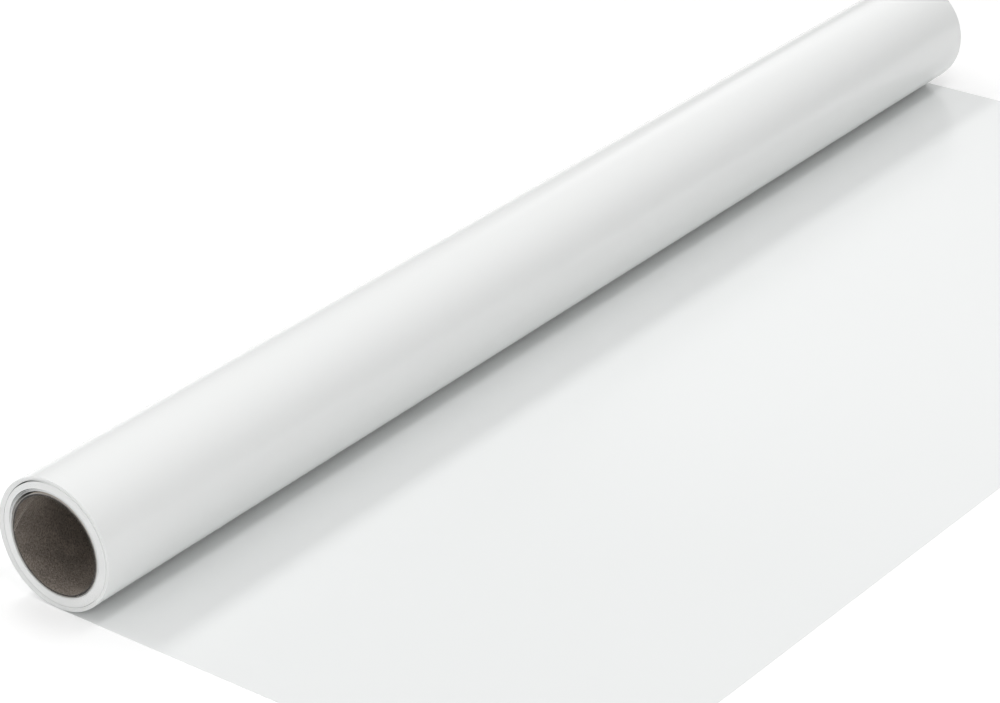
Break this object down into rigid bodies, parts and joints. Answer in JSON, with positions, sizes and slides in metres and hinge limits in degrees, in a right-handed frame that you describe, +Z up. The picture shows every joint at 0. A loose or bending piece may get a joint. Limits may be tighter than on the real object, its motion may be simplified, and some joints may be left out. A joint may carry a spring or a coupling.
{
  "type": "roll of sign vinyl",
  "caption": "Roll of white self-adhesive vinyl on its release liner, wound face in on a spiral paper core, with its free end run out flat and able to roll back up.",
  "frame": {"origin": "the middle of the core's bore, on its axis at half the core's length", "axes": "+Y along the roll's axis, +Z up from the surface that the roll and the free web lie on, +X the way the free web lies"},
  "size_m": [0.5347, 1.22, 0.1031],
  "materials": {
    "vinyl_film": "semi-gloss white calendered vinyl",
    "adhesive": "thin clear acrylic adhesive",
    "release_liner": "smooth coated white paper",
    "wound_web": "edges of vinyl and liner, white",
    "grey_board": "raw recycled grey-brown core board"
  },
  "bodies": {
    "laid_web": {"laid_liner": "release_liner", "laid_adhesive": "adhesive", "laid_film": "vinyl_film"},
    "outer_wraps": {"outer_turn_liner": "release_liner", "outer_turn_adhesive": "adhesive", "outer_turn_film": "vinyl_film", "loose_wraps": "wound_web"},
    "pack": {"tight_pack": "wound_web", "inner_wraps": "wound_web"},
    "core": {"core_inner_ply": "grey_board", "core_second_ply": "grey_board", "core_third_ply": "grey_board", "core_outer_ply": "grey_board"}
  },
  "joints": [
    {"name": "roll_travel", "type": "slide", "parent": "laid_web", "child": "outer_wraps", "axis": [1, 0, 0], "range_m": [0, 0.4], "deforming": ["laid_liner", "laid_adhesive", "laid_film"]},
    {"name": "pack_turn", "type": "hinge", "parent": "outer_wraps", "child": "pack", "pos_m": [0, 0, 0.0005], "axis": [0, 1, 0], "range_deg": [0, 447]},
    {"name": "core_turn", "type": "hinge", "parent": "outer_wraps", "child": "core", "pos_m": [0, 0, 0], "axis": [0, 1, 0], "range_deg": [0, 456]}
  ],
  "couplings": [
    {"joint": "pack_turn", "follows": "roll_travel", "rad_per_m": 19.445},
    {"joint": "core_turn", "follows": "roll_travel", "rad_per_m": 19.837}
  ]
}
